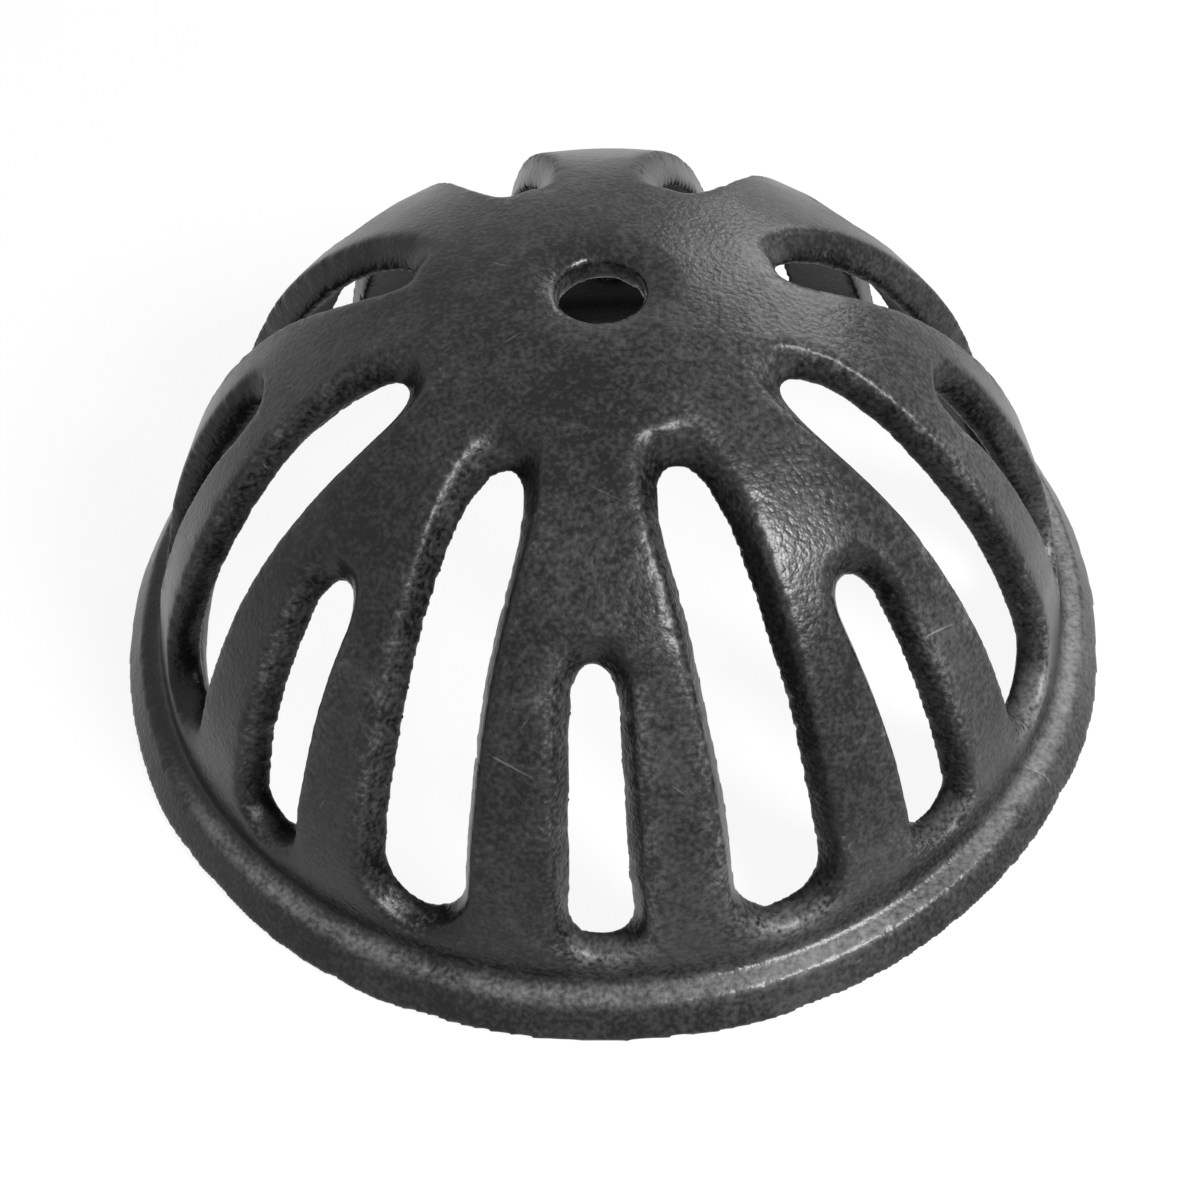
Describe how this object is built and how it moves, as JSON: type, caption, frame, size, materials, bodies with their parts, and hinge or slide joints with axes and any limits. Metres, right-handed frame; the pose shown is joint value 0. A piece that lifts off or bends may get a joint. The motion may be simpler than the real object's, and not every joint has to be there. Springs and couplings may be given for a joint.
{
  "type": "roof drain dome strainer",
  "caption": "Cast iron dome strainer for a flat roof drain: a slotted dome that keeps leaves out of the pipe, with a bolt hole in its crown and a plain seating flange.",
  "frame": {"origin": "middle of the flange's underside, on the dome's axis", "axes": "+Z along the dome's axis, up through the crown; -Y towards the short slot that faces the viewer"},
  "size_m": [0.2032, 0.2032, 0.0952],
  "materials": {
    "black_iron": "sand-cast, with a thin black coating"
  },
  "bodies": {
    "root": {"dome_strainer": "black_iron"}
  },
  "joints": []
}
